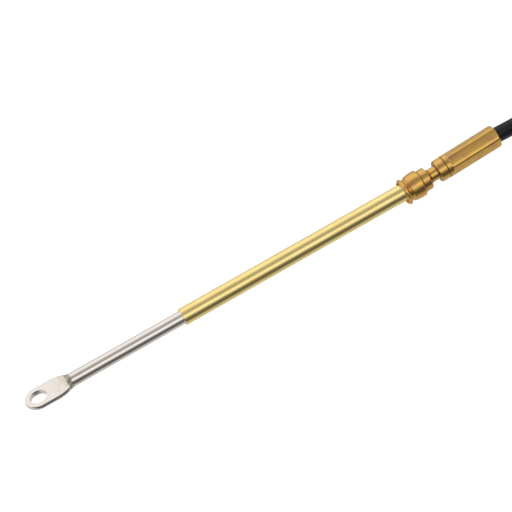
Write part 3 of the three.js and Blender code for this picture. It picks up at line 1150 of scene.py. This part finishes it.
@dataclass(frozen=True)
class JacketedCable:
    """The black cable between the two hubs, put away as a hank of two columns and two layers."""

    near: Stand
    far: Stand
    hub: HubSizes
    length: float = 1.41
    diameter: float = 7.14 * MM
    seat_gap: float = 0.3 * MM
    hank_start: float = 37.8 * MM
    hank_run: float = 119.9 * MM
    hank_aside: float = 1.2 * MM
    fold_radius: float = 22.5 * MM
    tie_thickness: float = 1.1 * MM
    face_gap: float = 0.3 * MM
    droop: float = 0.9 * MM
    # The lead: along X from the near hub's end, aside from the run, and back from the run's start
    lead_straight: float = 10.0 * MM
    lead_bend: float = 20.0 * MM
    lead_aside: float = 0.12 * MM
    lead_settled: float = 12.0 * MM
    # The tail: beyond the last run and below it, then before the far hub's end and above its axis
    tail_fall: Places = ((9.0 * MM, 1.1 * MM), (16.0 * MM, 3.0 * MM))
    tail_entry: Places = ((10.0 * MM, 0.7 * MM), (4.0 * MM, 0.0))
    sag: float = 1.5 * MM
    sides: int = 40

    def exits(self) -> tuple[np.ndarray, np.ndarray]:
        """Where the jacket leaves the near hub, and where it enters the far one."""
        reach = self.hub.length - self.hub.mouth_to_ball
        return self.near.ball + reach * self.near.direction(), self.far.ball + reach * self.far.direction()

    def layout(self) -> tuple[float, float, float, float, float, float]:
        """The hank's start and end along X, its outer run's Y, its folds' Y, and its layers' heights."""
        near_exit, _ = self.exits()
        start = near_exit[0] + self.hank_start
        run_line = near_exit[1] + self.hank_aside
        low = self.tie_thickness + self.face_gap + self.diameter / 2
        fold_line = run_line - self.fold_radius - self.diameter
        return start, start + self.hank_run, run_line, fold_line, low, low + self.diameter

    def route(self) -> np.ndarray:
        """The cable's centre line from inside the near hub to inside the far one.

        A lap of the hank goes out along its slot, around the far fold, back while it moves over to
        the next lap's slot, and around the near fold. The last near fold hangs a little.
        """
        near_exit, far_exit = self.exits()
        start, end, run_line, fold_line, low, top = self.layout()
        inside = self.hub.jacket_seat - self.seat_gap
        ahead = self.near.direction()
        down = np.array((0.0, 0.0, -self.droop))
        halfway = (low + near_exit[2] - self.droop) / 2
        lead = np.array(
            (
                near_exit - inside * ahead,
                near_exit + down / 6,
                near_exit + self.lead_straight * ahead + down,
                (near_exit[0] + self.lead_bend, run_line - self.lead_aside, halfway),
                (start - self.lead_settled, run_line, low),
                (start, run_line, low),
            )
        )
        tail = np.array(
            (
                (end, run_line, top),
                *((end + along, run_line, top - drop) for along, drop in self.tail_fall),
                *((far_exit[0] - along, run_line, far_exit[2] + rise) for along, rise in self.tail_entry),
                far_exit + np.array((inside, 0.0, 0.0)),
            )
        )
        inner, outer = self.fold_radius, self.fold_radius + self.diameter
        slots = ((outer, low), (inner, low), (inner, top), (outer, top))
        moves = ((2 / 3, 1.0), (1 / 3, 2 / 3), (0.0, 1 / 3))
        share = np.linspace(0.0, 1.0, 41)
        fold = math.pi * np.linspace(0.0, 1.0, 31)
        parts = [smooth_curve(lead, 10)]
        for lap, (radius, height) in enumerate(slots):
            run_y, run_z = np.full(len(share), fold_line + radius), np.full(len(share), height)
            out = (start + (end - start) * share, run_y, run_z)
            parts.append(np.stack(out, axis=-1)[1:])
            if lap == len(moves):
                continue
            next_radius, next_height = slots[lap + 1]
            first, last = moves[lap]
            moved = ease((share - first) / (last - first))
            width = radius + (next_radius - radius) * moved
            back = (end + (start - end) * share, fold_line - width, height + (next_height - height) * moved)
            hang = self.sag * np.sin(fold) if lap == len(moves) - 1 else 0.0 * fold
            right = (
                end + radius * np.sin(fold),
                fold_line + radius * np.cos(fold),
                np.full(len(fold), height),
            )
            left = (
                start - next_radius * np.sin(fold),
                fold_line - next_radius * np.cos(fold),
                next_height - hang,
            )
            parts.extend(np.stack(part, axis=-1)[1:] for part in (right, back, left))
        parts.append(smooth_curve(tail, 10)[1:])
        return evenly(np.vstack(parts), 2.4 * MM)

    def tube_grid(self, route: np.ndarray) -> np.ndarray:
        """A circle carried along the route: centre + r cos t * side + r sin t * up, closed at both ends.

        The side is the tangent turned towards the right in the floor's plane, and up is square to both.

        Args:
            route: the centre line.

        Returns:
            The grid of points.
        """
        tangent = np.gradient(route, axis=0)
        tangent = tangent / np.linalg.norm(tangent, axis=1, keepdims=True)
        side = np.cross(tangent, (0.0, 0.0, 1.0))
        side = side / np.linalg.norm(side, axis=1, keepdims=True)
        up = np.cross(side, tangent)
        angle = np.arange(self.sides)[:, None] * 2 * math.pi / self.sides
        radius = self.diameter / 2
        rings = route[:, None] + radius * (np.cos(angle) * side[:, None] + np.sin(angle) * up[:, None])
        first = np.broadcast_to(route[0], (1, self.sides, 3))
        last = np.broadcast_to(route[-1], (1, self.sides, 3))
        return np.vstack((first, rings, last))

    def build(self, material: bpy.types.Material) -> tuple[bpy.types.Object, np.ndarray]:
        """Makes the cable.

        Args:
            material: its finish.

        Returns:
            The cable, and the route that it follows.
        """
        route = self.route()
        reached = np.concatenate(((0.0,), np.cumsum(np.linalg.norm(np.diff(route, axis=0), axis=1))))
        log.info("jacket: %.4f m along its route", reached[-1])
        along = np.concatenate((reached[:1], reached, reached[-1:]))
        piece = grid_object("jacketed_cable", self.tube_grid(route), along=along)
        nodes = ("jacket_lead", "jacket_hank", "jacket_tail")
        return settle(piece, material, Body.CABLE, Slot.JACKET, *nodes), route


@dataclass(frozen=True)
class HankTie:
    """A nylon cable tie around one run of the hank, with its head on the hank's inner side."""

    number: int
    cable: JacketedCable
    width: float = 4.8 * MM
    head: tuple[float, float, float] = (3.4 * MM, 2.0 * MM, 2.9 * MM)
    corner: float = 2.4 * MM
    corner_points: int = 9
    head_power: float = 0.35

    def centre(self) -> np.ndarray:
        """Middle of the bundle that the tie holds."""
        start, end, _, fold_line, low, top = self.cable.layout()
        side = 1.0 if self.number == 1 else -1.0
        middle = self.cable.fold_radius + self.cable.diameter / 2
        return np.array(((start + end) / 2, fold_line + side * middle, (low + top) / 2))

    def band_grid(self) -> np.ndarray:
        """A rounded strap section carried around a rounded square.

        The square's side is two jackets and a gap, and a point of the strap lies at the square's
        outline plus its height along the outline's normal, and at its place across along X.
        """
        half = self.cable.diameter + self.cable.face_gap
        corner = self.corner
        turn = np.linspace(0.0, math.pi / 2, self.corner_points)
        quarters = [turn + quarter * math.pi / 2 for quarter in range(4)]
        around = np.concatenate(quarters)
        sign_y = np.repeat((1.0, -1.0, -1.0, 1.0), self.corner_points)
        sign_z = np.repeat((1.0, 1.0, -1.0, -1.0), self.corner_points)
        normal = np.stack((np.cos(around), np.sin(around)), axis=-1)
        base = np.stack((sign_y, sign_z), axis=-1) * (half - corner)
        strap = rounded_outline(
            [
                (-self.width / 2, 0.0, 0.15 * MM),
                (self.width / 2, 0.0, 0.15 * MM),
                (self.width / 2, self.cable.tie_thickness, 0.4 * MM),
                (-self.width / 2, self.cable.tie_thickness, 0.4 * MM),
            ],
            3,
        )
        across, height = strap[:, 0], strap[:, 1]
        places = base[:, None] + normal[:, None] * (corner + height)[None, :, None]
        along = np.broadcast_to(across, places.shape[:2])
        return np.concatenate((along[..., None], places), axis=-1) + self.centre()

    def head_grid(self) -> np.ndarray:
        """The tie's head: a box with round edges.

        Its points are half sizes times (cos v, cos u sin v, sin u sin v), each raised in size to
        the head's power with its sign kept.
        """
        around = np.arange(40) * 2 * math.pi / 40
        over = np.linspace(0.0, math.pi, 21)[:, None]
        raw = np.stack(
            (np.cos(over) + 0 * around, np.cos(around) * np.sin(over), np.sin(around) * np.sin(over)), axis=-1
        )
        shape = np.sign(raw) * np.abs(raw) ** self.head_power * self.head
        inward = -1.0 if self.number == 1 else 1.0
        reach = self.cable.diameter + self.cable.face_gap + self.cable.tie_thickness + 0.6 * self.head[1]
        return shape + self.centre() + np.array((0.0, inward * reach, 0.0))

    def build(self, material: bpy.types.Material) -> list[bpy.types.Object]:
        """Makes the band and its head in their finish."""
        node = f"hank_tie_{self.number}"
        band = grid_object(node + "_band", self.band_grid(), wrap_rows=True)
        head = grid_object(node + "_head", self.head_grid())
        settle(band, material, Body.CABLE, Slot.NYLON, node)
        settle(head, material, Body.CABLE, Slot.NYLON)
        return [band, head]


@dataclass(frozen=True)
class FarNodes:
    """The far rod and sleeve, which are the frame's own solids in the near end's finishes."""

    crease: float = math.radians(30.0)

    def dress(self, node: str, material: bpy.types.Material) -> bpy.types.Object:
        """Gives a solid of the frame its finish and smooth shading.

        Args:
            node: the solid's name.
            material: its finish.

        Returns:
            The solid.
        """
        solid = frame["nodes"][node]
        for slot in solid.material_slots:
            slot.material = material
        solid.data.polygons.foreach_set("use_smooth", [True] * len(solid.data.polygons))
        weld = solid.modifiers.new("join_faces", "WELD")
        weld.merge_threshold = 0.001 * MM
        split = solid.modifiers.new("keep_edges", "EDGE_SPLIT")
        split.split_angle = self.crease
        log.info("%s: %d faces in its finish", node, len(solid.data.polygons))
        return solid


def main() -> None:
    """Builds the picture around the frame: camera, cable, both ends, floor and light."""
    logging.basicConfig(level=logging.INFO, format="%(name)s %(message)s")
    bpy.context.scene.view_settings.view_transform = "Standard"
    near = Stand(joint_place("sleeve_swivel"), flat_heading())
    far = Stand(joint_place("far_swivel"), math.pi)
    hub_sizes = HubSizes()
    Viewpoint().build(near.ball)

    jacket_finish = ExtrudedPlastic().make("black_jacket_satin")
    nylon = ExtrudedPlastic(roughness=0.3).make("tie_nylon_black", 12.0)
    brass = WorkedBrass().make("worked_brass", hub_sizes.grooves())
    tube_finish = PlatedTube().make("pale_yellow_plate")

    cable = JacketedCable(near, far, hub_sizes)
    jacket, route = cable.build(jacket_finish)
    far_hub = CrimpedHub("far_hub_visual", "far_crimp_hub", far, hub_sizes).build(brass)
    ties = HankTie(1, cable).build(nylon) + HankTie(2, cable).build(nylon)

    rod_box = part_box("rod_eye")
    rod = RodEye(near.ball, rod_box[0][0], rod_box[1][0])
    steel = DrawnSteel().make("drawn_steel", rod.shoulder_place())
    rod.build(steel)
    SleeveTube(near).build(tube_finish)
    CrimpedHub("crimp_hub_visual", "crimp_hub", near, hub_sizes).build(brass)

    far_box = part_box("far_rod_eye")
    far_shoulder = far_box[1][0] - (rod.shoulder_place() - rod.tip)
    far_rod = FarNodes().dress("far_rod_eye", DrawnSteel().make("far_drawn_steel", far_shoulder))
    far_sleeve = FarNodes().dress("far_sleeve_tube", tube_finish)
    cable.exits()[0]

    studio = Studio()
    studio.build_floor()
    studio.build_light()


if __name__ == "__main__":
    main()
